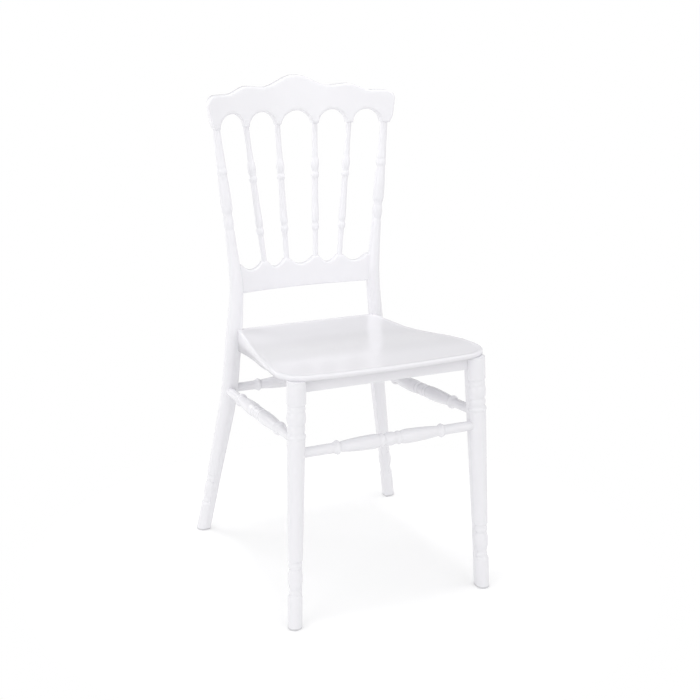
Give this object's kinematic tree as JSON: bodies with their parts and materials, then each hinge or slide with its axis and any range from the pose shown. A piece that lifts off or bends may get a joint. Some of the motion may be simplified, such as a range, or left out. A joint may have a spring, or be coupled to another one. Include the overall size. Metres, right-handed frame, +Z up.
{
  "type": "dining chair",
  "caption": "White moulded banquet chair with turned legs and stretchers, a contoured seat, fanned back spindles and a scalloped crest rail.",
  "frame": {"origin": "on the floor, under the middle of the four feet", "axes": "+Z up, the front of the chair faces -Y, +X to the right of someone who looks at the front"},
  "size_m": [0.4538, 0.4828, 0.916],
  "materials": {
    "white_resin": "smooth glossy white moulded resin",
    "glide_plastic": "plain nylon",
    "zinc_steel": "bright zinc plate",
    "insert_brass": "plain machined brass"
  },
  "bodies": {
    "root": {"seat_panel": "white_resin", "front_apron": "white_resin", "rear_seat_rail": "white_resin", "front_leg_left": "white_resin", "front_leg_right": "white_resin", "rear_post_left": "white_resin", "rear_post_right": "white_resin", "crest_rail": "white_resin", "lower_back_rail": "white_resin", "spindle_1": "white_resin", "spindle_2": "white_resin", "spindle_3": "white_resin", "spindle_4": "white_resin", "front_stretcher": "white_resin", "left_stretcher": "white_resin", "right_stretcher": "white_resin", "rear_stretcher": "white_resin", "foot_glide_front_left": "glide_plastic", "foot_glide_front_right": "glide_plastic", "foot_glide_rear_left": "glide_plastic", "foot_glide_rear_right": "glide_plastic", "leg_lock_screws": "zinc_steel", "seat_rail_screws": "zinc_steel", "rear_post_bolts": "zinc_steel", "crest_screws": "zinc_steel", "rear_post_inserts": "insert_brass", "crest_screw_plugs": "white_resin"}
  },
  "joints": []
}
